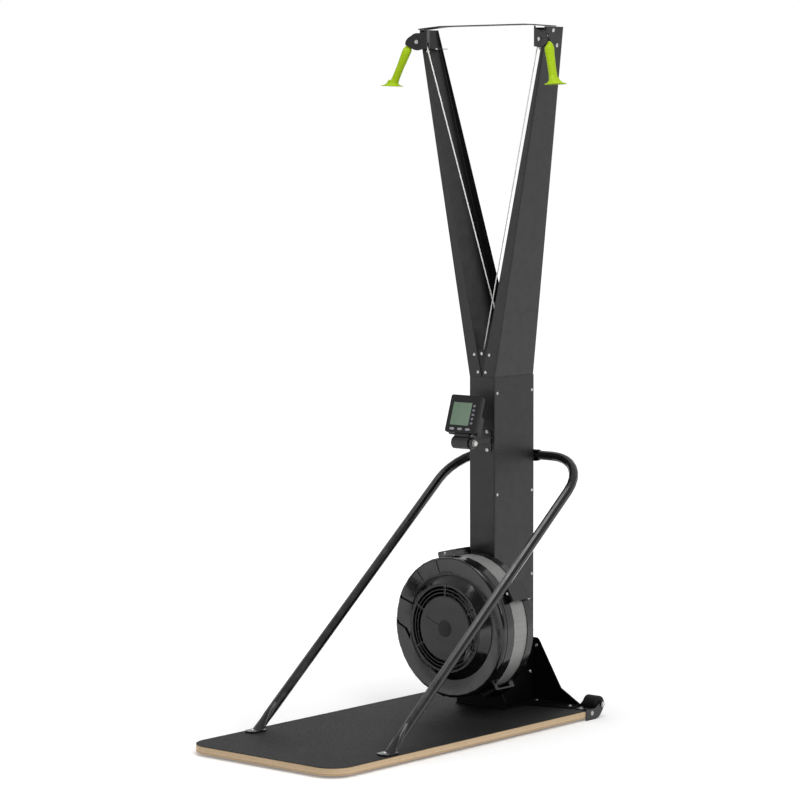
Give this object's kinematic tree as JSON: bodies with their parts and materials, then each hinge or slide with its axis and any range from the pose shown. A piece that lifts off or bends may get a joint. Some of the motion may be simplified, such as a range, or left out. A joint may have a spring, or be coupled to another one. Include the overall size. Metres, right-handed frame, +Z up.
{
  "type": "ski trainer machine",
  "caption": "Free-standing ski trainer: two tall arms carry pull cords and handles above a column with a fan flywheel, monitor, leg frame and wheeled wooden deck.",
  "frame": {"origin": "centre of the bounding box's base, on the floor", "axes": "+Z up, -Y towards the user who stands on the deck and faces the column, +X to that user's right"},
  "size_m": [0.7232, 1.275, 2.168],
  "materials": {
    "plywood": "clear-lacquered birch plywood",
    "grip": "dark speckled non-slip sheet",
    "powder_coat": "charcoal powder coat",
    "black_steel": "black powder coat",
    "frame_tube": "charcoal powder coat",
    "shell": "black moulded plastic",
    "screen": "light grey perforated sheet",
    "steel": "bare machined steel",
    "fan": "bare pressed aluminium",
    "plastic": "black moulded plastic",
    "grip_handle": "lime moulded soft-touch plastic",
    "cord": "light grey braided cord",
    "rubber": "black rubber",
    "display": "grey-green liquid-crystal display",
    "key": "grey rubber keys"
  },
  "bodies": {
    "frame": {"deck_board": "plywood", "deck_grip": "grip", "deck_foot_right": "rubber", "deck_foot_left": "rubber", "base_plate": "black_steel", "base_gusset_right": "black_steel", "base_gusset_left": "black_steel", "column_shell": "powder_coat", "column_back": "powder_coat", "arm_right": "powder_coat", "arm_left": "powder_coat", "joint_plate_front": "black_steel", "top_strap": "black_steel", "pulley_bracket_right": "black_steel", "pulley_bracket_left": "black_steel", "pulley_axle_right": "steel", "pulley_axle_left": "steel", "leg_frame": "frame_tube", "leg_clamp": "black_steel", "housing_rear": "shell", "housing_band": "screen", "housing_front": "shell", "intake_grille": "shell", "bearing_front": "steel", "bearing_rear": "steel", "drive_cord_right": "cord", "drive_cord_left": "cord", "wheel_bracket_right": "black_steel", "wheel_bracket_left": "black_steel", "monitor_bracket": "plastic"},
    "damper": {"damper_dial": "shell"},
    "flywheel": {"flywheel_fan": "fan", "flywheel_shaft": "steel"},
    "drum_right": {"cord_drum_right": "plastic"},
    "drum_left": {"cord_drum_left": "plastic"},
    "roller_right": {"cord_roller_right": "plastic"},
    "roller_left": {"cord_roller_left": "plastic"},
    "pulley_right": {"pulley_right": "plastic"},
    "pulley_left": {"pulley_left": "plastic"},
    "cord_end_right": {"cord_end_right": "cord"},
    "cord_end_left": {"cord_end_left": "cord"},
    "handle_right": {"handle_right": "grip_handle"},
    "handle_left": {"handle_left": "grip_handle"},
    "monitor": {"monitor_back": "plastic", "monitor_front": "plastic", "monitor_screen": "display"},
    "knob": {"monitor_knob": "plastic"},
    "wheel_right": {"wheel_right": "rubber"},
    "wheel_left": {"wheel_left": "rubber"},
    "key_side_1": {"key_side_1": "key"},
    "key_side_2": {"key_side_2": "key"},
    "key_side_3": {"key_side_3": "key"},
    "key_side_4": {"key_side_4": "key"},
    "key_side_5": {"key_side_5": "key"},
    "key_low_1": {"key_low_1": "key"},
    "key_low_2": {"key_low_2": "key"},
    "key_low_3": {"key_low_3": "key"}
  },
  "joints": [
    {"name": "pull_right", "type": "slide", "parent": "frame", "child": "cord_end_right", "axis": [0.3225, -0.2038, -0.9244], "range_m": [0, 1.1], "stiffness_N_per_m": 12, "springref_m": -1},
    {"name": "handle_swing_right", "type": "hinge", "parent": "cord_end_right", "child": "handle_right", "pos_m": [0.27699, 0.36481, 2.11371], "axis": [-0.309, -0.9511, 0], "range_deg": [0, 36]},
    {"name": "pulley_spin_right", "type": "hinge", "parent": "frame", "child": "pulley_right", "pos_m": [0.2502, 0.3751, 2.1194], "axis": [-0.309, -0.9511, 0], "continuous": true},
    {"name": "roller_spin_right", "type": "hinge", "parent": "frame", "child": "roller_right", "pos_m": [-0.018, 0.4135, 1.086], "axis": [0, -1, 0], "continuous": true},
    {"name": "drum_spin_right", "type": "hinge", "parent": "frame", "child": "drum_right", "pos_m": [0, 0.4135, 0.3015], "axis": [0, -1, 0], "continuous": true},
    {"name": "pull_left", "type": "slide", "parent": "frame", "child": "cord_end_left", "axis": [-0.3225, -0.2038, -0.9244], "range_m": [0, 1.1], "stiffness_N_per_m": 12, "springref_m": -1},
    {"name": "handle_swing_left", "type": "hinge", "parent": "cord_end_left", "child": "handle_left", "pos_m": [-0.27699, 0.36481, 2.11371], "axis": [-0.309, 0.9511, 0], "range_deg": [0, 36]},
    {"name": "pulley_spin_left", "type": "hinge", "parent": "frame", "child": "pulley_left", "pos_m": [-0.2502, 0.3751, 2.1194], "axis": [0.309, -0.9511, 0], "continuous": true},
    {"name": "roller_spin_left", "type": "hinge", "parent": "frame", "child": "roller_left", "pos_m": [0.024, 0.4635, 1.14], "axis": [0, -1, 0], "continuous": true},
    {"name": "drum_spin_left", "type": "hinge", "parent": "frame", "child": "drum_left", "pos_m": [0, 0.4635, 0.3015], "axis": [0, -1, 0], "continuous": true},
    {"name": "flywheel_spin", "type": "hinge", "parent": "frame", "child": "flywheel", "pos_m": [0, 0.3015, 0.3015], "axis": [0, -1, 0], "continuous": true},
    {"name": "damper_turn", "type": "hinge", "parent": "frame", "child": "damper", "pos_m": [0, 0.2055, 0.3015], "axis": [0, -1, 0], "range_deg": [-7, 41]},
    {"name": "monitor_tilt", "type": "hinge", "parent": "frame", "child": "monitor", "pos_m": [0, 0.285, 0.875], "axis": [-1, 0, 0], "range_deg": [-20, 15]},
    {"name": "knob_turn", "type": "hinge", "parent": "frame", "child": "knob", "pos_m": [0.05, 0.285, 0.875], "axis": [1, 0, 0], "continuous": true},
    {"name": "press_side_1", "type": "slide", "parent": "monitor", "child": "key_side_1", "axis": [0, 0.95, -0.3123], "range_m": [0, 0.0012], "stiffness_N_per_m": 600, "springref_m": -0.001},
    {"name": "press_side_2", "type": "slide", "parent": "monitor", "child": "key_side_2", "axis": [0, 0.95, -0.3123], "range_m": [0, 0.0012], "stiffness_N_per_m": 600, "springref_m": -0.001},
    {"name": "press_side_3", "type": "slide", "parent": "monitor", "child": "key_side_3", "axis": [0, 0.95, -0.3123], "range_m": [0, 0.0012], "stiffness_N_per_m": 600, "springref_m": -0.001},
    {"name": "press_side_4", "type": "slide", "parent": "monitor", "child": "key_side_4", "axis": [0, 0.95, -0.3123], "range_m": [0, 0.0012], "stiffness_N_per_m": 600, "springref_m": -0.001},
    {"name": "press_side_5", "type": "slide", "parent": "monitor", "child": "key_side_5", "axis": [0, 0.95, -0.3123], "range_m": [0, 0.0012], "stiffness_N_per_m": 600, "springref_m": -0.001},
    {"name": "press_low_1", "type": "slide", "parent": "monitor", "child": "key_low_1", "axis": [0, 0.95, -0.3123], "range_m": [0, 0.0012], "stiffness_N_per_m": 600, "springref_m": -0.001},
    {"name": "press_low_2", "type": "slide", "parent": "monitor", "child": "key_low_2", "axis": [0, 0.95, -0.3123], "range_m": [0, 0.0012], "stiffness_N_per_m": 600, "springref_m": -0.001},
    {"name": "press_low_3", "type": "slide", "parent": "monitor", "child": "key_low_3", "axis": [0, 0.95, -0.3123], "range_m": [0, 0.0012], "stiffness_N_per_m": 600, "springref_m": -0.001},
    {"name": "wheel_spin_right", "type": "hinge", "parent": "frame", "child": "wheel_right", "pos_m": [0.2675, 0.6125, 0.042], "axis": [1, 0, 0], "continuous": true},
    {"name": "wheel_spin_left", "type": "hinge", "parent": "frame", "child": "wheel_left", "pos_m": [-0.2675, 0.6125, 0.042], "axis": [1, 0, 0], "continuous": true}
  ],
  "couplings": [
    {"joint": "pulley_spin_right", "follows": "pull_right", "rad_per_m": -40.816},
    {"joint": "roller_spin_right", "follows": "pull_right", "rad_per_m": -83.333},
    {"joint": "drum_spin_right", "follows": "pull_right", "rad_per_m": -33.333},
    {"joint": "pulley_spin_left", "follows": "pull_left", "rad_per_m": 40.816},
    {"joint": "roller_spin_left", "follows": "pull_left", "rad_per_m": 83.333},
    {"joint": "drum_spin_left", "follows": "pull_left", "rad_per_m": -33.333}
  ]
}
